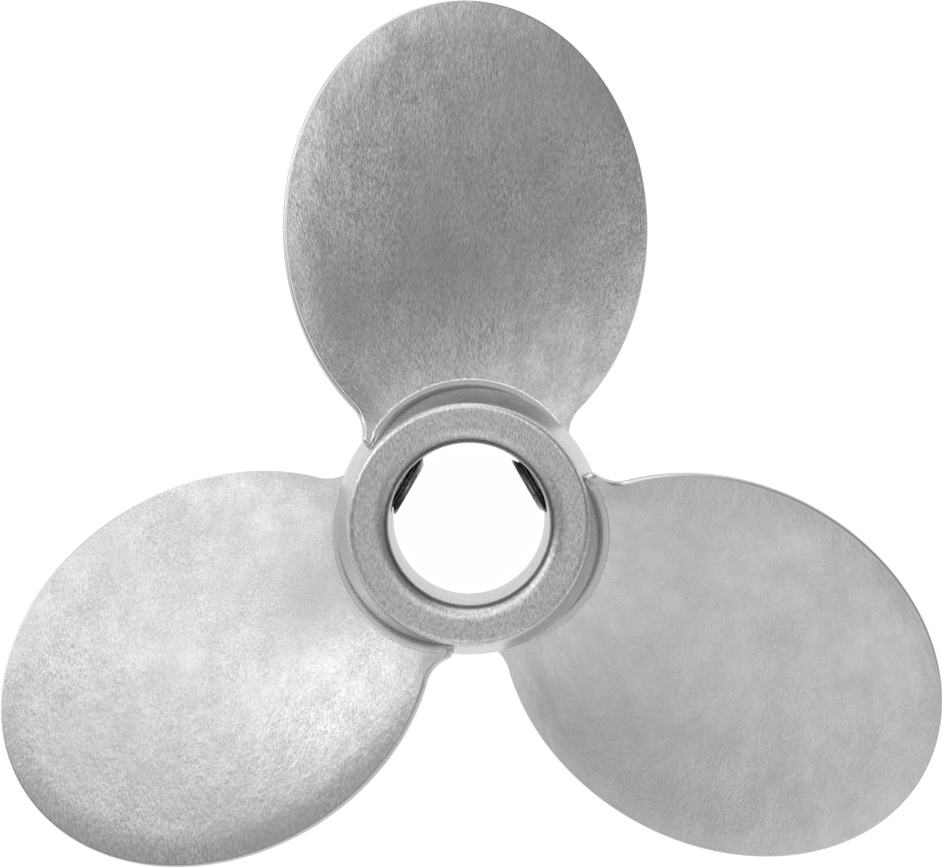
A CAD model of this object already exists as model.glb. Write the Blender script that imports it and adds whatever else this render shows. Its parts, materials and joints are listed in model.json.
import json
import math
import bmesh
import bpy
import numpy as np
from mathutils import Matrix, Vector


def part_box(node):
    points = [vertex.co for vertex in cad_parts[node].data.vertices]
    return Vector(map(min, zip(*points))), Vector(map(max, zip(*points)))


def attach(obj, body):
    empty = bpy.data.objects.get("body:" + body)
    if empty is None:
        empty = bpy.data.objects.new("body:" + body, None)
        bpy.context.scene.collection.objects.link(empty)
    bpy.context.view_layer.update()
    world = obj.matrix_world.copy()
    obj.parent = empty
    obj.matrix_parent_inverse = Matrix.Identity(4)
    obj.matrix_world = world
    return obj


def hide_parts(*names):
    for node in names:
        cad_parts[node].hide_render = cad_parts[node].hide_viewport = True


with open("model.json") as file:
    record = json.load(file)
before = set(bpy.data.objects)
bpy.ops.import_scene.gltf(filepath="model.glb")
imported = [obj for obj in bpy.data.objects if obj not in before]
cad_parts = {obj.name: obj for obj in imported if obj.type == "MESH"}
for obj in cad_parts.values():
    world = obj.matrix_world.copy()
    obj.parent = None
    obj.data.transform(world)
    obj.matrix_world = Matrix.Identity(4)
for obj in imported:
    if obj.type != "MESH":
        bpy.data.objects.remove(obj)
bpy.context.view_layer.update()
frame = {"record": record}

# A right-hand three-blade propeller. Shapes are worked out in millimetres in the frame's axes:
# the shaft axis is Z, the hub's mid-plane is Z = 0 and blade 1 points along +Y.
MM = 0.001

# ---- sizes, from the frame where it states them ----
MOUNTS = {mount["name"]: mount for mount in frame["record"]["mounts"]}
BORE_RADIUS = MOUNTS["shaft_bore"]["dims"]["r_mm"]
BORE_STRAIGHT = MOUNTS["shaft_bore"]["dims"]["length_mm"]
HUB_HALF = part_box("hub")[1].z / MM
TIP_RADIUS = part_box("blade_1")[1].y / MM
LIP_RADIUS = HUB_HALF - BORE_STRAIGHT / 2
HUB_MIDDLE_RADIUS = 16.2
HUB_END_RADIUS = 14.2
HUB_EDGE_RADIUS = 0.9

PITCH = 127.0
RISE = PITCH / (2 * math.pi)      # mm along the shaft for each radian of turn
OVAL_INNER = 7.9                  # where the oval would close, inside the hub
OVAL_HALF_WIDTH = 22.2
PLATE_HALF = 0.8                  # half the plate's thickness
EDGE_HALF = 0.42                  # the plate thins to this half thickness at its rim
EDGE_TAPER = 4.0                  # over this much of its width
RIM_RADIUS = 0.3
FLARE_RADIUS = 4.4                # the hollow arc that runs each blade's rim into the hub
FOOT_HALF_WIDTH = 12.5            # the blade is this wide where it meets the hub
FOOT_HALF_ANGLE = 52              # the foot's sides run to the shaft at this angle off the blade
FOOT_CORNER_RADIUS = 0.8
ROOT_RADIUS = 12.6                # the visible blade runs in to here, inside the hub's wall
BLADE_TURNS = (0.0, 120.0, 240.0)

FILLET_RADIUS = 1.05
RIM_FILLET_RADIUS = 0.45          # the fillet is smaller where it turns round the rim
FILLET_FADE = 2.0                 # and grows to its full radius over this far along the root
EDGE_LIFT = 0.12                  # the fillet's ground edge stands this proud of the blade
EDGE_WIDTH = 0.05                 # it stays level over this much
EDGE_REACH = 0.16                 # and drops to the blade over this much
EDGE_RAGGED = 0.10                # more or less by up to this much
EDGE_ROUGH = 0.12                 # and its height varies by this share of the lift

SCREW_RADIUS = 3.97
SCREW_ANGLES = (30.0, 150.0)
SCREW_TIP = 8.14                  # the point's face, from the shaft axis
SCREW_LENGTH = 7.8
HOLE_RADIUS = 4.02
THREAD_PITCH = 1.41
THREAD_DEPTH = 0.80
THREAD_STEEPNESS = 2.4            # of the thread's flanks
THREAD_ROOT = 0.1                 # how wide the flat at the thread's root is
POINT_RADIUS = 3.72
POINT_CHAMFER = 0.36              # the cone from the point's face out to the thread
HEAD_CHAMFER = 0.5
CUP_RADIUS = 2.75
CUP_DEPTH = 0.8
SOCKET_FLATS = 3.97
SOCKET_DEPTH = 3.2
SOCKET_LEAD = 0.12                # the depth of the socket's chamfered mouth
SOCKET_MOUTH = 1.04               # and how much wider than the socket it is

FLOOR_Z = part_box("hub")[0].z
FLOOR_HALF = 3.0                  # metres
FLOOR_GLOW = 0.97

# Base greys, as linear values.
STEEL_GREY = 0.55
FLANK_GREY = 0.50
ROOT_GREY = 0.40
EDGE_GREYS = (0.85, 0.60, 0.45)   # the ground edge shines most on blade 1


# ---- mesh helpers ----
def make_piece(name, points, faces, body, material_list, face_slots=None):
    """A smooth-shaded mesh piece from points in millimetres, riding on a body."""
    mesh = bpy.data.meshes.new(name)
    mesh.from_pydata((np.asarray(points, float) * MM).tolist(), [], faces)
    mesh.validate()
    piece = bpy.data.objects.new(name, mesh)
    bpy.context.scene.collection.objects.link(piece)
    for material in material_list:
        mesh.materials.append(material)
    if face_slots is not None:
        mesh.polygons.foreach_set("material_index", face_slots)
    tidy_normals(mesh)
    if body:
        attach(piece, body)
    return piece


def tidy_normals(mesh, sharp_degrees=38.0):
    """Faces point outwards and shade smoothly, and edges sharper than the angle stay sharp."""
    work = bmesh.new()
    work.from_mesh(mesh)
    bmesh.ops.recalc_face_normals(work, faces=work.faces)
    limit = math.radians(sharp_degrees)
    for face in work.faces:
        face.smooth = True
    for edge in work.edges:
        edge.smooth = len(edge.link_faces) == 2 and edge.calc_face_angle(0.0) < limit
    work.to_mesh(mesh)
    work.free()


def turned(points, degrees):
    """The points turned about the shaft axis."""
    angle = math.radians(degrees)
    cosine, sine = math.cos(angle), math.sin(angle)
    points = np.asarray(points, float)
    x = points[..., 0] * cosine - points[..., 1] * sine
    y = points[..., 0] * sine + points[..., 1] * cosine
    return np.stack([x, y, points[..., 2]], axis=-1)


def grid_faces(rows, columns, start=0, close_rows=False, close_columns=False):
    """Quads over a grid of points stored row by row."""
    faces = []
    for row in range(rows if close_rows else rows - 1):
        below = row * columns
        above = ((row + 1) % rows) * columns
        for column in range(columns if close_columns else columns - 1):
            right = (column + 1) % columns
            faces.append((start + below + column, start + below + right,
                          start + above + right, start + above + column))
    return faces


def arc(centre, radius, start, end, count):
    """Points on an arc in a plane, both ends included, angles in degrees."""
    angles = np.radians(np.linspace(start, end, count))
    return np.stack([centre[0] + radius * np.cos(angles),
                     centre[1] + radius * np.sin(angles)], axis=-1)


# ---- materials ----
# Patterns are laid out in millimetres, in the object's own axes.
class Finish:
    """A material on a Principled shader, with short ways to add its pattern nodes."""

    def __init__(self, name, metallic, roughness):
        self.material = bpy.data.materials.new(name)
        self.material.use_nodes = True
        self.nodes = self.material.node_tree.nodes
        self.links = self.material.node_tree.links
        self.shader = self.nodes["Principled BSDF"]
        self.shader.inputs["Metallic"].default_value = metallic
        self.shader.inputs["Roughness"].default_value = roughness

    def join(self, source, target):
        """Set a socket to a number or link it to another socket."""
        if isinstance(source, (int, float)):
            target.default_value = source
        else:
            self.links.new(source, target)

    def place(self, stretch=(1, 1, 1)):
        """Places in millimetres, with each axis multiplied by its own number."""
        coordinates = self.nodes.new("ShaderNodeTexCoord")
        mapping = self.nodes.new("ShaderNodeMapping")
        mapping.inputs["Scale"].default_value = tuple(share / MM for share in stretch)
        self.links.new(coordinates.outputs["Object"], mapping.inputs["Vector"])
        return mapping.outputs["Vector"]

    def rings(self, by_radius, by_height):
        """Places that change only with the radius and the height, for rings about the shaft."""
        parts = self.nodes.new("ShaderNodeSeparateXYZ")
        self.links.new(self.place(), parts.inputs[0])
        flat = self.nodes.new("ShaderNodeCombineXYZ")
        self.links.new(parts.outputs["X"], flat.inputs["X"])
        self.links.new(parts.outputs["Y"], flat.inputs["Y"])
        radius = self.nodes.new("ShaderNodeVectorMath")
        radius.operation = "LENGTH"
        self.links.new(flat.outputs[0], radius.inputs[0])
        result = self.nodes.new("ShaderNodeCombineXYZ")
        self.join(self.combine("MULTIPLY", radius.outputs["Value"], by_radius), result.inputs["X"])
        self.join(self.combine("MULTIPLY", parts.outputs["Z"], by_height), result.inputs["Y"])
        return result.outputs[0]

    def noise(self, place, scale, detail=2.0, rough=0.5):
        """Noise from 0 to 1 about 0.5, with this many cells to each unit of place."""
        node = self.nodes.new("ShaderNodeTexNoise")
        node.inputs["Scale"].default_value = scale
        node.inputs["Detail"].default_value = detail
        node.inputs["Roughness"].default_value = rough
        self.links.new(place, node.inputs["Vector"])
        return node.outputs["Fac"]

    def combine(self, operation, first, second=0.0):
        """The result of one math node."""
        node = self.nodes.new("ShaderNodeMath")
        node.operation = operation
        self.join(first, node.inputs[0])
        self.join(second, node.inputs[1])
        return node.outputs[0]

    def add_share(self, base, value, share):
        """The base with a share of the value added."""
        result = self.combine("MULTIPLY_ADD", value, share)
        self.join(base, result.node.inputs[2])
        return result

    def span(self, value, low, high, to_low, to_high):
        """The value carried from one span to another and held at its ends."""
        node = self.nodes.new("ShaderNodeMapRange")
        node.inputs["From Min"].default_value = low
        node.inputs["From Max"].default_value = high
        self.join(to_low, node.inputs["To Min"])
        self.join(to_high, node.inputs["To Max"])
        self.links.new(value, node.inputs["Value"])
        return node.outputs["Result"]

    def grey(self, value):
        """Link a grey value to the base colour."""
        node = self.nodes.new("ShaderNodeCombineColor")
        for channel in ("Red", "Green", "Blue"):
            self.links.new(value, node.inputs[channel])
        self.links.new(node.outputs[0], self.shader.inputs["Base Color"])

    def rough(self, value):
        """Link a value to the roughness."""
        self.links.new(value, self.shader.inputs["Roughness"])

    def bump(self, height, millimetres):
        """Relief on the surface, this deep from the lowest height to the highest."""
        node = self.nodes.new("ShaderNodeBump")
        node.inputs["Distance"].default_value = millimetres * MM
        self.links.new(height, node.inputs["Height"])
        self.links.new(node.outputs["Normal"], self.shader.inputs["Normal"])


def blade_finish(name, stroke_tone, cloud_tone):
    """Sanded sheet steel: short fine strokes, in patches, over cloudy mottling."""
    finish = Finish(name, 1.0, 0.38)
    strokes = finish.noise(finish.place((3.0, 0.9, 3.0)), 1.7, 2.0, 0.7)
    cloud = finish.noise(finish.place((1.0, 0.6, 1.0)), 0.28, 5.0, 0.68)
    patch = finish.noise(finish.place(), 0.07, 2.0, 0.5)
    depth = finish.span(patch, 0.35, 0.65, 0.35, 1.0)
    swing = finish.combine("MULTIPLY", finish.combine("SUBTRACT", strokes, 0.5), depth)
    tone = finish.add_share(STEEL_GREY, swing, stroke_tone)
    finish.grey(finish.add_share(tone, finish.combine("SUBTRACT", cloud, 0.5), cloud_tone))
    finish.rough(finish.span(cloud, 0.3, 0.7, 0.43, 0.33))
    dents = finish.noise(finish.place((1.0, 0.6, 1.0)), 0.8, 3.0, 0.6)
    relief = finish.add_share(finish.combine("MULTIPLY", strokes, depth), dents, 1.5)
    finish.bump(relief, 0.06)
    return finish.material


def ground_finish(name, grey):
    """Steel ground and polished round the shaft: fine rings and a little haze."""
    finish = Finish(name, 1.0, 0.27)
    lines = finish.noise(finish.rings(5.0, 5.0), 1.0, 3.0, 0.65)
    haze = finish.noise(finish.place(), 0.35, 3.0, 0.6)
    finish.grey(finish.add_share(grey, finish.combine("SUBTRACT", lines, 0.5), 0.14))
    finish.rough(finish.span(haze, 0.3, 0.7, 0.31, 0.23))
    finish.bump(lines, 0.006)
    return finish.material


def face_finish():
    """Machined end faces: faint rings under short sanding strokes."""
    finish = Finish("hub face steel", 1.0, 0.33)
    lines = finish.noise(finish.rings(6.0, 6.0), 1.0, 2.0, 0.6)
    strokes = finish.noise(finish.place((2.8, 1.0, 2.8)), 2.0, 2.0, 0.65)
    haze = finish.noise(finish.place(), 0.4, 3.0, 0.6)
    both = finish.add_share(strokes, lines, 0.4)
    finish.grey(finish.add_share(STEEL_GREY, finish.combine("SUBTRACT", both, 0.7), 0.85))
    finish.rough(finish.span(haze, 0.3, 0.7, 0.36, 0.29))
    finish.bump(both, 0.04)
    return finish.material


def black_finish(name, angle):
    """Black oxide on a set screw: near black, with thin worn lines round its inner end."""
    finish = Finish(name, 0.0, 0.35)
    along = finish.nodes.new("ShaderNodeVectorMath")
    along.operation = "DOT_PRODUCT"
    turn = math.radians(angle)
    along.inputs[1].default_value = (math.cos(turn), math.sin(turn), 0.0)
    finish.links.new(finish.place(), along.inputs[0])
    line_place = finish.nodes.new("ShaderNodeCombineXYZ")
    finish.links.new(along.outputs["Value"], line_place.inputs["X"])
    lines = finish.noise(line_place.outputs[0], 3.2, 2.0, 0.6)
    wear = finish.noise(finish.place(), 2.4, 3.0, 0.6)
    bright = finish.span(along.outputs["Value"], 9.5, 11.0, 0.95, 0.012)
    finish.grey(finish.span(finish.add_share(lines, wear, 0.3), 0.62, 0.76, 0.006, bright))
    finish.rough(finish.span(wear, 0.4, 0.7, 0.30, 0.45))
    finish.bump(wear, 0.01)
    return finish.material


def point_finish():
    """The chamfer at a screw's point, scraped to bare metal."""
    finish = Finish("bare screw point", 1.0, 0.35)
    wear = finish.noise(finish.place(), 3.0, 3.0, 0.6)
    finish.grey(finish.span(wear, 0.4, 0.65, 0.95, 0.55))
    finish.rough(finish.span(wear, 0.3, 0.7, 0.28, 0.42))
    finish.bump(wear, 0.01)
    return finish.material


# The upper and the left blade are coarsely sanded, and the right one is smoother.
steel_blades = [
    blade_finish("blade 1 steel", 1.10, 0.40),
    blade_finish("blade 2 steel", 0.85, 0.22),
    blade_finish("blade 3 steel", 0.26, 0.17),
]
steel_rim = ground_finish("rim steel", STEEL_GREY)
steel_flank = ground_finish("flank steel", FLANK_GREY)
steel_root = ground_finish("root steel", ROOT_GREY)
steel_edges = [ground_finish(f"ground edge {index + 1} steel", grey)
               for index, grey in enumerate(EDGE_GREYS)]
steel_face = face_finish()
black_steels = [black_finish(f"black screw {index + 1}", angle)
                for index, angle in enumerate(SCREW_ANGLES)]
screw_point = point_finish()


# ---- hub: a turned barrel with rounded bore mouths ----
# Its flank is an arc in section, through the middle's and the end's radius.
SWELL = HUB_MIDDLE_RADIUS - HUB_END_RADIUS
FLANK_CENTRE = HUB_MIDDLE_RADIUS - (HUB_HALF ** 2 + SWELL ** 2) / (2 * SWELL)
FLANK_RADIUS = HUB_MIDDLE_RADIUS - FLANK_CENTRE
HUB_SEGMENTS = 288


def flank_radius(height):
    """The barrel's radius at this height."""
    return FLANK_CENTRE + np.sqrt(FLANK_RADIUS ** 2 - np.asarray(height, float) ** 2)


def hub_profile():
    """The upper half of the hub's section as (radius, height), from the bore to mid-flank."""
    # The outer rounding touches the end face and the barrel arc from inside.
    edge_height = HUB_HALF - HUB_EDGE_RADIUS
    edge_reach = math.sqrt((FLANK_RADIUS - HUB_EDGE_RADIUS) ** 2 - edge_height ** 2)
    edge_centre = (FLANK_CENTRE + edge_reach, edge_height)
    touch = math.degrees(math.atan2(edge_height, edge_reach))
    bore = [(BORE_RADIUS, height) for height in np.linspace(0, HUB_HALF - LIP_RADIUS, 38)]
    lip = arc((BORE_RADIUS + LIP_RADIUS, HUB_HALF - LIP_RADIUS), LIP_RADIUS, 180, 90, 25)
    face = [(radius, HUB_HALF) for radius in
            np.linspace(BORE_RADIUS + LIP_RADIUS, edge_centre[0], 8)]
    edge = arc(edge_centre, HUB_EDGE_RADIUS, 90, touch, 17)
    flank_top = edge[-1][1]
    flank = [(float(flank_radius(height)), height) for height in np.linspace(flank_top, 0, 40)]
    return np.array(bore + list(lip[1:]) + face[1:] + list(edge[1:]) + flank[1:])


def make_hub():
    """The hub, turned, cross-drilled and riding on the propeller."""
    upper = hub_profile()
    lower = upper[::-1][1:-1] * (1, -1)
    profile = np.concatenate([upper, lower])
    angles = np.linspace(0, 2 * math.pi, HUB_SEGMENTS, endpoint=False)
    points = np.stack([
        profile[None, :, 0] * np.cos(angles)[:, None],
        profile[None, :, 0] * np.sin(angles)[:, None],
        np.broadcast_to(profile[None, :, 1], (HUB_SEGMENTS, len(profile))),
    ], axis=-1).reshape(-1, 3)
    faces = grid_faces(HUB_SEGMENTS, len(profile), close_rows=True, close_columns=True)
    # The end faces with the lips and the roundings are slot 1, flank and bore slot 0.
    on_end = np.abs(profile[:, 1]) > HUB_HALF - LIP_RADIUS + 0.01
    section_slots = (on_end & np.roll(on_end, -1)).astype(int).tolist()
    slots = section_slots * HUB_SEGMENTS
    piece = make_piece("hub_shell", points, faces, None, [steel_flank, steel_face], slots)
    for angle in SCREW_ANGLES:
        cut_hole(piece, angle)
    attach(piece, "propeller")
    return piece


def cut_hole(piece, angle):
    """Cut a set screw's hole through the piece's wall at this angle round the shaft."""
    sides = 96
    inner_end, outer_end = BORE_RADIUS - 3.0, HUB_MIDDLE_RADIUS + 2.0
    ring = np.radians(np.arange(sides) * 360 / sides)
    points = []
    for reach in (inner_end, outer_end):
        points.append(np.stack([np.full(sides, reach), HOLE_RADIUS * np.cos(ring),
                                HOLE_RADIUS * np.sin(ring)], axis=-1))
    faces = [(side, (side + 1) % sides, sides + (side + 1) % sides, sides + side)
             for side in range(sides)]
    faces += [tuple(range(sides))[::-1], tuple(range(sides, 2 * sides))]
    cutter = make_piece("cutter", turned(np.concatenate(points), angle), faces, None, [])
    step = piece.modifiers.new("hole", "BOOLEAN")
    step.operation = "DIFFERENCE"
    step.solver = "EXACT"
    step.object = cutter
    graph = bpy.context.evaluated_depsgraph_get()
    drilled = bpy.data.meshes.new_from_object(piece.evaluated_get(graph))
    piece.modifiers.clear()
    piece.data = drilled
    cutter_mesh = cutter.data
    bpy.data.objects.remove(cutter)
    bpy.data.meshes.remove(cutter_mesh)
    tidy_normals(drilled)


# ---- blades ----
# Blade 1's outline in plan is an oval that flares out where it runs into the hub. Half of it,
# on the side of +X, is an arc of the oval, a hollow arc, a short run at the foot's half width,
# a rounded corner and a run straight towards the shaft that ends inside the hub's wall.
OVAL_CENTRE = (TIP_RADIUS + OVAL_INNER) / 2
OVAL_HALF_LENGTH = (TIP_RADIUS - OVAL_INNER) / 2
HALVINGS = 60                     # in the search for where the hollow arc meets the oval
RIM_COUNT = 1400                  # points along each side of the rim, for distances


def oval_place(angle):
    """The oval's point at its own angle from the tip, and its outward normal, both in plan."""
    x = OVAL_HALF_WIDTH * np.sin(angle)
    y = OVAL_CENTRE + OVAL_HALF_LENGTH * np.cos(angle)
    across = OVAL_HALF_LENGTH * np.sin(angle)
    along = OVAL_HALF_WIDTH * np.cos(angle)
    length = np.hypot(across, along)
    return x, y, across / length, along / length


def half_outline(count):
    """Points down one side of the outline in plan, evenly spaced from the tip to the root."""
    # The hollow arc touches the oval from outside, and it touches the foot's straight side.
    low, high = math.pi / 2, math.pi
    for _ in range(HALVINGS):
        middle = (low + high) / 2
        x, y, across, along = oval_place(middle)
        if x + FLARE_RADIUS * across > FOOT_HALF_WIDTH + FLARE_RADIUS:
            low = middle
        else:
            high = middle
    x, y, across, along = oval_place(low)
    centre = (x + FLARE_RADIUS * across, y + FLARE_RADIUS * along)
    side = np.stack(oval_place(np.linspace(0, low, 1600))[:2], axis=-1)
    first = math.degrees(math.atan2(-along, -across))
    hollow = arc(centre, FLARE_RADIUS, first, 180, 400)
    lean = math.radians(FOOT_HALF_ANGLE)
    corner_height = FOOT_HALF_WIDTH / math.tan(lean) + FOOT_CORNER_RADIUS * math.tan(lean / 2)
    corner = arc((FOOT_HALF_WIDTH - FOOT_CORNER_RADIUS, corner_height), FOOT_CORNER_RADIUS,
                 0, -FOOT_HALF_ANGLE, 60)
    root = [(ROOT_RADIUS * math.sin(lean), ROOT_RADIUS * math.cos(lean))]
    path = np.concatenate([side, hollow[1:], corner, root])
    lengths = np.concatenate([[0], np.cumsum(np.linalg.norm(np.diff(path, axis=0), axis=1))])
    even = np.linspace(0, lengths[-1], count)
    return np.stack([np.interp(even, lengths, path[:, 0]),
                     np.interp(even, lengths, path[:, 1])], axis=-1)


def on_sheet(x, y):
    """The helicoid over a place in the plan of blade 1, and its unit normal."""
    radius = np.hypot(x, y)
    turn = np.arctan2(-x, y)
    point = np.stack([x, y, RISE * turn], axis=-1)
    slope = RISE / radius
    around = np.stack([-np.cos(turn), -np.sin(turn), np.zeros_like(turn)], axis=-1)
    normal = (-slope[..., None] * around + np.array([0, 0, 1.0])) \
        / np.sqrt(1 + slope ** 2)[..., None]
    return point, normal


def rim(count, side):
    """The sheet's rim from the tip to the root on one side: places, normals, outward ways."""
    half = half_outline(count)
    point, normal = on_sheet(side * half[:, 0], half[:, 1])
    along = np.gradient(point, axis=0)
    along[0] = (side, 0, 0)
    along -= np.sum(along * normal, axis=-1, keepdims=True) * normal
    along /= np.linalg.norm(along, axis=-1, keepdims=True)
    outward = side * np.cross(normal, along)
    return point, normal, outward


RIM_SIDES = [rim(RIM_COUNT, 1), rim(RIM_COUNT, -1)]
RIM_POINTS = np.concatenate([side[0] for side in RIM_SIDES])
RIM_OUTWARDS = np.concatenate([side[2] for side in RIM_SIDES])


def half_thickness(inwards):
    """Half the plate's thickness this far in from where its rim's rounding ends."""
    share = np.clip(inwards / EDGE_TAPER, 0, 1)
    return EDGE_HALF + (PLATE_HALF - EDGE_HALF) * (1 - (1 - share) ** 2)


def blade_mesh(rows=150, columns=72, rim_steps=9):
    """Points, faces and slots of blade 1: front, back, and the rounded rim, which is slot 1."""
    # Rows run from the tip to the root, each an arc about the shaft axis between the rims.
    point, normal, outward = rim(rows, 1)
    inset_x = point[:, 0] - RIM_RADIUS * outward[:, 0]
    inset_y = point[:, 1] - RIM_RADIUS * outward[:, 1]
    radius = np.hypot(inset_x, inset_y)
    half_turn = np.abs(np.arctan2(inset_x, inset_y))
    spread = np.linspace(-1, 1, columns)
    turn = half_turn[:, None] * spread[None, :]
    x = -radius[:, None] * np.sin(turn)
    y = radius[:, None] * np.cos(turn)
    sheet, sheet_normal = on_sheet(x, y)
    gaps = [np.sqrt(np.min(np.sum((row[:, None, :] - RIM_POINTS[None, :, :]) ** 2, axis=2), axis=1))
            for row in sheet]
    half = half_thickness(np.stack(gaps) - RIM_RADIUS)[..., None]
    front = sheet + half * sheet_normal
    back = sheet - half * sheet_normal
    points = [front.reshape(-1, 3), back.reshape(-1, 3)]
    faces = grid_faces(rows, columns)
    faces += [face[::-1] for face in grid_faces(rows, columns, rows * columns)]
    broad_faces = len(faces)

    # The rim's section goes round from the front to the back on both sides of every row.
    sweep = np.radians(np.linspace(90, 0, rim_steps))
    upper = np.stack([-RIM_RADIUS + RIM_RADIUS * np.cos(sweep),
                      EDGE_HALF - RIM_RADIUS + RIM_RADIUS * np.sin(sweep)], axis=-1)
    section = np.concatenate([upper, upper[::-1] * (1, -1)])[1:-1]
    count = 2 * rows * columns
    sides = []
    for side in (1, -1):
        rim_point, rim_normal, rim_out = rim(rows, side)
        ring = rim_point[:, None, :] + section[None, :, :1] * rim_out[:, None, :] \
            + section[None, :, 1:] * rim_normal[:, None, :]
        sides.append(count)
        points.append(ring.reshape(-1, 3))
        count += rows * len(section)
    steps = len(section)
    for side, start in enumerate(sides):
        column = 0 if side == 0 else columns - 1
        for row in range(rows - 1):
            loops = []
            for here in (row, row + 1):
                front_index = here * columns + column
                loops.append([front_index]
                             + [start + here * steps + step for step in range(steps)]
                             + [front_index + rows * columns])
            for step in range(steps + 1):
                faces.append((loops[0][step], loops[0][step + 1],
                              loops[1][step + 1], loops[1][step]))
    # The tip closes across the first row, and the root across the last.
    for row in (0, rows - 1):
        left = [sides[0] + row * steps + step for step in range(steps)]
        right = [sides[1] + row * steps + step for step in range(steps)]
        front_row = [row * columns + column for column in range(columns)]
        back_row = [index + rows * columns for index in front_row]
        faces.append(front_row + right + back_row[::-1] + left[::-1])
    slots = [0] * broad_faces + [1] * (len(faces) - broad_faces)
    return np.concatenate(points), faces, slots


# ---- root fillets: a ball rolled round the corner between hub and blade ----
NEWTON_STEPS = 14
LONGEST_STEP = 0.8                # mm that a ball's centre may move at once
PATH_COUNT = 640                  # balls round one root
EDGE_SHARES = (0.0, 0.35, 0.7, 1.0, 1.25)
TAIL_DROP = 2                     # how steeply the edge dives into the blade at its end
INNER_REACH = 1.25                # the mesh closes inside the metal, in radii past the centre


def hub_distance(points):
    """Signed distance to the hub's outside: the barrel flank, the roundings and the ends."""
    reach = np.hypot(points[:, 0], points[:, 1]) - FLANK_CENTRE
    beside = np.hypot(reach, points[:, 2]) - FLANK_RADIUS + HUB_EDGE_RADIUS
    above = np.abs(points[:, 2]) - HUB_HALF + HUB_EDGE_RADIUS
    outside = np.hypot(np.maximum(beside, 0), np.maximum(above, 0))
    return outside + np.minimum(np.maximum(beside, above), 0) - HUB_EDGE_RADIUS


def plate_distance(points):
    """Signed distance to blade 1's plate with its rounded rim, near the plate."""
    radius = np.hypot(points[:, 0], points[:, 1])
    point_turn = np.arctan2(-points[:, 0], points[:, 1])
    turn = point_turn.copy()
    for _ in range(8):
        swing = turn - point_turn
        slope = radius ** 2 * np.sin(swing) * np.cos(swing) + RISE * (RISE * turn - points[:, 2])
        bend = radius ** 2 * np.cos(2 * swing) + RISE ** 2
        turn -= slope / bend
    foot_radius = radius * np.cos(turn - point_turn)
    foot, normal = on_sheet(-foot_radius * np.sin(turn), foot_radius * np.cos(turn))
    lift = np.abs(np.sum((points - foot) * normal, axis=1))
    gaps = np.sum((foot[:, None, :] - RIM_POINTS[None, :, :]) ** 2, axis=2)
    nearest = np.argmin(gaps, axis=1)
    beyond = np.sum((foot - RIM_POINTS[nearest]) * RIM_OUTWARDS[nearest], axis=1)
    across = beyond + RIM_RADIUS
    above = lift - (half_thickness(-across) - RIM_RADIUS)
    outside = np.hypot(np.maximum(across, 0), np.maximum(above, 0))
    return outside + np.minimum(np.maximum(across, above), 0) - RIM_RADIUS


def slopes(measure, points):
    """The gradient of a distance, by small differences."""
    step = 1e-4
    parts = []
    for axis in range(3):
        shift = np.zeros(3)
        shift[axis] = step
        parts.append((measure(points + shift) - measure(points - shift)) / (2 * step))
    return np.stack(parts, axis=-1)


def root_path():
    """First guesses for the ball's centre, once round blade 1's root, and its radius there."""
    # The corner is where the rim passes through the flank.
    side = RIM_SIDES[0][0]
    corner = side[np.argmin(np.abs(hub_distance(side)))]
    reach = math.atan2(corner[0], corner[1])
    half_width = math.hypot(reach * HUB_MIDDLE_RADIUS, reach * RISE)
    offset = PLATE_HALF + RIM_FILLET_RADIUS
    straight = 2 * half_width - 2 * RIM_RADIUS
    bend = math.pi * offset
    total = 2 * (straight + bend)
    guesses, radii = [], []
    for distance in np.linspace(0, total, PATH_COUNT, endpoint=False):
        if distance < straight:
            along, away = -straight / 2 + distance, offset
        elif distance < straight + bend:
            angle = (distance - straight) / offset
            along, away = straight / 2 + offset * math.sin(angle), offset * math.cos(angle)
        elif distance < 2 * straight + bend:
            along, away = straight / 2 - (distance - straight - bend), -offset
        else:
            angle = (distance - 2 * straight - bend) / offset
            along, away = -straight / 2 - offset * math.sin(angle), -offset * math.cos(angle)
        share = min(max((straight / 2 - abs(along)) / FILLET_FADE, 0.0), 1.0)
        growth = (FILLET_RADIUS - RIM_FILLET_RADIUS) * share * share * (3 - 2 * share)
        away += math.copysign(growth, away)
        turn = along / half_width * reach
        radius = float(flank_radius(RISE * turn)) + RIM_FILLET_RADIUS + growth
        foot, normal = on_sheet(np.array([-radius * math.sin(turn)]),
                                np.array([radius * math.cos(turn)]))
        guesses.append(foot[0] + away * normal[0])
        radii.append(RIM_FILLET_RADIUS + growth)
    return np.array(guesses), np.array(radii)[:, None]


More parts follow.
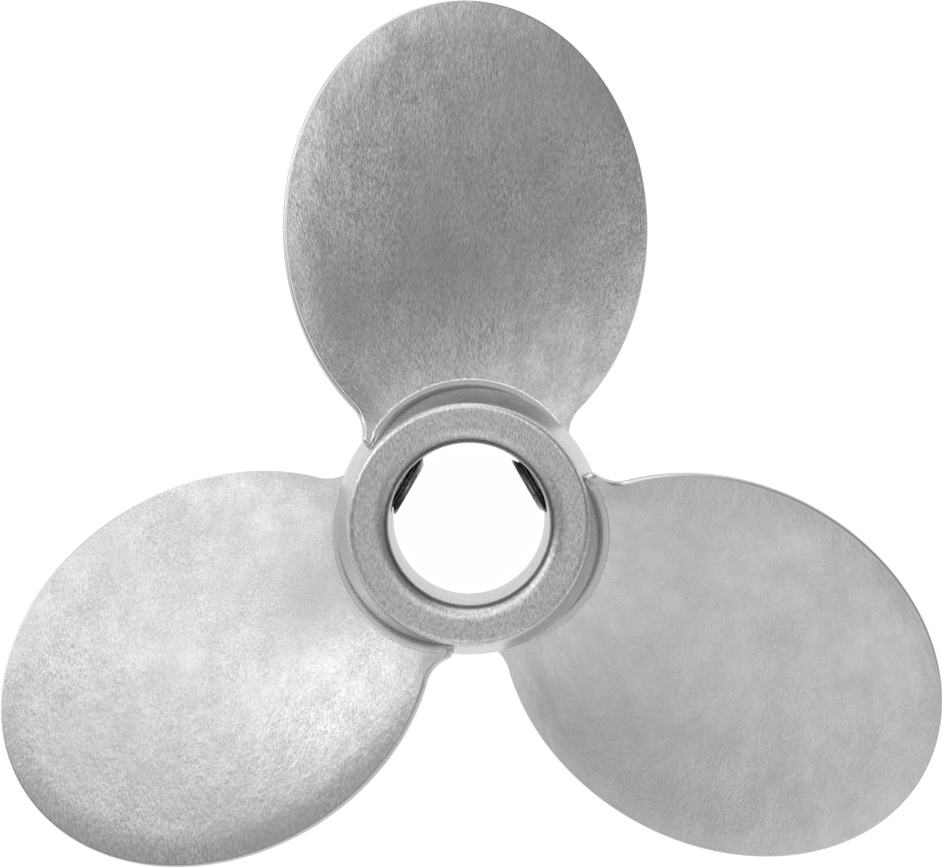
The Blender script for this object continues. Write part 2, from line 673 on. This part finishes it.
def fillet_mesh(steps=12):
    """Points, faces and slots of the fillet round blade 1's root, as a closed ring.

    The grinding leaves the fillet a little proud of the blade, and it ends in a ragged edge,
    which is slot 1.
    """
    centres, ball = root_path()
    for _ in range(NEWTON_STEPS):
        gaps = np.stack([hub_distance(centres), plate_distance(centres)], axis=-1) - ball
        lean = np.stack([slopes(hub_distance, centres), slopes(plate_distance, centres)], axis=1)
        pull = np.linalg.pinv(lean) @ gaps[:, :, None]
        step = pull[:, :, 0]
        length = np.linalg.norm(step, axis=1, keepdims=True)
        centres = centres - step * np.minimum(1.0, LONGEST_STEP / np.maximum(length, 1e-9))
    to_hub = -slopes(hub_distance, centres)
    to_plate = -slopes(plate_distance, centres)
    to_hub /= np.linalg.norm(to_hub, axis=1, keepdims=True)
    to_plate /= np.linalg.norm(to_plate, axis=1, keepdims=True)
    opening = np.arccos(np.clip(np.sum(to_hub * to_plate, axis=1), -1, 1))[:, None]
    # 1 where the ball rests on the blade's face, and 0 where it rests on the rim.
    facing = np.abs(np.sum(to_plate * on_sheet(centres[:, 0], centres[:, 1])[1], axis=1))
    on_face = np.clip((facing[:, None] - 0.80) / 0.15, 0, 1)
    lift = EDGE_LIFT * on_face
    rings = []
    for share in np.linspace(0, 1, steps):
        direction = (np.sin((1 - share) * opening) * to_hub
                     + np.sin(share * opening) * to_plate) / np.sin(opening)
        rings.append(centres + ball * direction - lift * share ** 3 * to_plate)
    # Beyond the blade's contact the ground edge runs on a little and drops to the blade.
    # It dies out where the fillet turns round the rim.
    onwards = to_plate * np.cos(opening) - to_hub
    onwards /= np.linalg.norm(onwards, axis=1, keepdims=True)
    ragged = np.random.default_rng(7).uniform(-1, 1, (len(centres), 2))
    reach = (EDGE_REACH + EDGE_RAGGED * ragged[:, :1]) * on_face
    for share in EDGE_SHARES:
        drop = 1.0 - math.sqrt(1.0 - min(share, 1.0) ** 2) + TAIL_DROP * max(0.0, share - 1.0)
        along = reach * share + (EDGE_WIDTH * on_face if share else 0.0)
        height = lift * (1.0 - drop + (EDGE_ROUGH * ragged[:, 1:] if share else 0.0))
        rings.append(centres + ball * to_plate + along * onwards - height * to_plate)
    rings.append(centres + INNER_REACH * ball * (to_hub + to_plate))
    points = np.stack(rings, axis=1)
    faces = grid_faces(points.shape[0], points.shape[1], close_rows=True, close_columns=True)
    edge_end = steps + len(EDGE_SHARES) - 1
    slots = [1 if steps <= column < edge_end else 0 for column in range(points.shape[1])]
    return points.reshape(-1, 3), faces, slots * points.shape[0]


# ---- set screws: threaded, with a cup point and a hexagon socket ----
def screw_mesh(around=144, along=156):
    """A threaded screw along +X, its point's face at X = 0 and its head at SCREW_LENGTH."""
    turn = np.linspace(0, 2 * math.pi, around, endpoint=False)
    height = np.linspace(0, SCREW_LENGTH, along)
    phase = (height[:, None] / THREAD_PITCH - turn[None, :] / (2 * math.pi)) % 1.0
    groove = np.clip(THREAD_STEEPNESS * np.abs(phase - 0.5) - THREAD_ROOT, 0.0, 1.0)
    radius = SCREW_RADIUS - THREAD_DEPTH * (1 - groove)
    point_cone = POINT_RADIUS + height[:, None] * (SCREW_RADIUS - POINT_RADIUS) / POINT_CHAMFER
    head_cone = SCREW_RADIUS - HEAD_CHAMFER + (SCREW_LENGTH - height[:, None])
    radius = np.minimum(radius, np.minimum(point_cone, head_cone))
    thread = np.stack([np.broadcast_to(height[:, None], radius.shape),
                       radius * np.cos(turn)[None, :], radius * np.sin(turn)[None, :]], axis=-1)
    points = [thread.reshape(-1, 3)]
    faces = grid_faces(along, around, close_columns=True)
    slots = []
    for row in range(along - 1):
        slots += [1 if height[row] < POINT_CHAMFER else 0] * around
    count = along * around

    # The point: a flat ring, then a hollow cup. The head: a flat ring and the socket.
    def add_ring(section_height, radii):
        nonlocal count
        points.append(np.stack([np.full(around, section_height), radii * np.cos(turn),
                                radii * np.sin(turn)], axis=-1))
        count += around
        return count - around

    def bridge(first, second, slot):
        for side in range(around):
            following = (side + 1) % around
            faces.append((first + side, first + following, second + following, second + side))
            slots.append(slot)

    def cap(ring, slot):
        faces.append(tuple(range(ring, ring + around)))
        slots.append(slot)

    whole = np.ones(around)
    previous = 0
    for share in (1.0, 0.8, 0.6, 0.4, 0.2, 0.05):
        depth = CUP_DEPTH * (1 - share)
        ring = add_ring(depth, CUP_RADIUS * share * whole)
        bridge(previous, ring, 1 if share == 1.0 else 0)
        previous = ring
    cap(previous, 0)

    hexagon = SOCKET_FLATS / 2 / np.cos((turn + math.pi / 6) % (math.pi / 3) - math.pi / 6)
    last_row = (along - 1) * around
    mouth = add_ring(SCREW_LENGTH, hexagon * SOCKET_MOUTH)
    bridge(last_row, mouth, 0)
    throat = add_ring(SCREW_LENGTH - SOCKET_LEAD, hexagon)
    bridge(mouth, throat, 0)
    floor_ring = add_ring(SCREW_LENGTH - SOCKET_DEPTH, hexagon)
    bridge(throat, floor_ring, 0)
    cap(floor_ring, 0)
    return np.concatenate(points), faces, slots


def make_screw(index, angle):
    """A threaded screw in its hole, riding on its own body."""
    points, faces, slots = screw_mesh()
    points = points + (SCREW_TIP, 0, 0)
    piece = make_piece(f"threaded_screw_{index}", turned(points, angle), faces,
                       f"screw_{index}", [black_steels[index - 1], screw_point], slots)
    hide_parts(f"set_screw_{index}")


# ---- the pieces ----
hub = make_hub()
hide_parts("hub")
blade_points, blade_faces, blade_slots = blade_mesh()
for index, turn in enumerate(BLADE_TURNS):
    blade = make_piece(f"blade_skin_{index + 1}", turned(blade_points, turn), blade_faces,
                       "propeller", [steel_blades[index], steel_rim], blade_slots)
    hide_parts(f"blade_{index + 1}")
fillet_points, fillet_faces, fillet_slots = fillet_mesh()
for index, turn in enumerate(BLADE_TURNS):
    fillet = make_piece(f"root_fillet_{index + 1}", turned(fillet_points, turn), fillet_faces,
                        "propeller", [steel_root, steel_edges[index]], fillet_slots)
for index, angle in enumerate(SCREW_ANGLES):
    make_screw(index + 1, angle)


# ---- floor: white to the eye and in the metal, plain and pale to the light ----
def white_floor():
    """A floor seen as white by camera, reflection and glass, which keeps a soft shadow."""
    material = bpy.data.materials.new("white floor")
    material.use_nodes = True
    nodes, links = material.node_tree.nodes, material.node_tree.links
    nodes.clear()
    path = nodes.new("ShaderNodeLightPath")
    seen = nodes.new("ShaderNodeMath")
    seen.operation = "MAXIMUM"
    links.new(path.outputs["Is Camera Ray"], seen.inputs[0])
    links.new(path.outputs["Is Glossy Ray"], seen.inputs[1])
    seen_through = nodes.new("ShaderNodeMath")
    seen_through.operation = "MAXIMUM"
    links.new(seen.outputs[0], seen_through.inputs[0])
    links.new(path.outputs["Is Transmission Ray"], seen_through.inputs[1])
    plain = nodes.new("ShaderNodeBsdfDiffuse")
    plain.inputs["Color"].default_value = (0.8, 0.8, 0.8, 1.0)
    faint = nodes.new("ShaderNodeBsdfDiffuse")
    faint.inputs["Color"].default_value = (0.15, 0.15, 0.15, 1.0)
    glow = nodes.new("ShaderNodeEmission")
    glow.inputs["Color"].default_value = (1.0, 1.0, 1.0, 1.0)
    glow.inputs["Strength"].default_value = FLOOR_GLOW
    white = nodes.new("ShaderNodeAddShader")
    links.new(faint.outputs[0], white.inputs[0])
    links.new(glow.outputs[0], white.inputs[1])
    choice = nodes.new("ShaderNodeMixShader")
    links.new(seen_through.outputs[0], choice.inputs[0])
    links.new(plain.outputs[0], choice.inputs[1])
    links.new(white.outputs[0], choice.inputs[2])
    output = nodes.new("ShaderNodeOutputMaterial")
    links.new(choice.outputs[0], output.inputs["Surface"])
    return material


floor_mesh = bpy.data.meshes.new("floor")
floor_mesh.from_pydata([(-FLOOR_HALF, -FLOOR_HALF, FLOOR_Z), (FLOOR_HALF, -FLOOR_HALF, FLOOR_Z),
                        (FLOOR_HALF, FLOOR_HALF, FLOOR_Z), (-FLOOR_HALF, FLOOR_HALF, FLOOR_Z)],
                       [], [(0, 1, 2, 3)])
floor = bpy.data.objects.new("floor", floor_mesh)
bpy.context.scene.collection.objects.link(floor)
floor_mesh.materials.append(white_floor())

# ---- light: a plain grey sky with soft bright patches, and one large lamp overhead ----
SKY_STRENGTH = 0.32
SKY_PATCHES = [
    # azimuth and elevation in degrees, sharpness, strength
    (90, 10, 24, 2.2),
    (150, 10, 24, 3.0),
    (120, 35, 24, 1.6),
    (90, 58, 24, 1.4),
    (45, 58, 24, 0.9),
    (270, 25, 10, 0.6),
    (270, 60, 10, 0.7),
    (330, 10, 24, 0.9),
    (225, 5, 5, 0.45),
]
world = bpy.data.worlds.new("studio")
world.use_nodes = True
sky_nodes, sky_links = world.node_tree.nodes, world.node_tree.links
background = sky_nodes["Background"]
background.inputs["Color"].default_value = (1.0, 1.0, 1.0, 1.0)
direction = sky_nodes.new("ShaderNodeTexCoord").outputs["Generated"]
total = None
for azimuth, elevation, sharpness, strength in SKY_PATCHES:
    turn, lift = math.radians(azimuth), math.radians(elevation)
    facing = sky_nodes.new("ShaderNodeVectorMath")
    facing.operation = "DOT_PRODUCT"
    facing.inputs[1].default_value = (math.cos(turn) * math.cos(lift),
                                      math.sin(turn) * math.cos(lift), math.sin(lift))
    sky_links.new(direction, facing.inputs[0])
    ahead = sky_nodes.new("ShaderNodeMath")
    ahead.operation = "MAXIMUM"
    ahead.inputs[1].default_value = 0.0
    sky_links.new(facing.outputs["Value"], ahead.inputs[0])
    patch = sky_nodes.new("ShaderNodeMath")
    patch.operation = "POWER"
    patch.inputs[1].default_value = sharpness
    sky_links.new(ahead.outputs[0], patch.inputs[0])
    added = sky_nodes.new("ShaderNodeMath")
    added.operation = "MULTIPLY_ADD"
    added.inputs[1].default_value = strength
    added.inputs[2].default_value = SKY_STRENGTH
    sky_links.new(patch.outputs[0], added.inputs[0])
    if total is not None:
        sky_links.new(total, added.inputs[2])
    total = added.outputs[0]
sky_links.new(total, background.inputs["Strength"])
bpy.context.scene.world = world

lamp = bpy.data.lights.new("overhead", "AREA")
lamp.shape = "DISK"
lamp.size = 0.7
lamp.energy = 0.1
overhead = bpy.data.objects.new("overhead", lamp)
overhead.location = (0, 0, 1.2)
bpy.context.scene.collection.objects.link(overhead)

# ---- camera: straight down the shaft, a little above its axis in the picture ----
CAMERA_HEIGHT = 529.4
CAMERA_X = -0.2
CAMERA_Y = 10.15
camera_data = bpy.data.cameras.new("camera")
camera_data.sensor_width = 36.0
camera_data.lens = 165.8
camera_data.shift_x = 0.0039
camera_data.shift_y = 0.0044
camera_data.clip_start = 0.01
camera_data.clip_end = 20.0
camera = bpy.data.objects.new("camera", camera_data)
camera.location = (CAMERA_X * MM, CAMERA_Y * MM, CAMERA_HEIGHT * MM)
bpy.context.scene.collection.objects.link(camera)
bpy.context.scene.camera = camera
bpy.context.scene.view_settings.view_transform = "Standard"
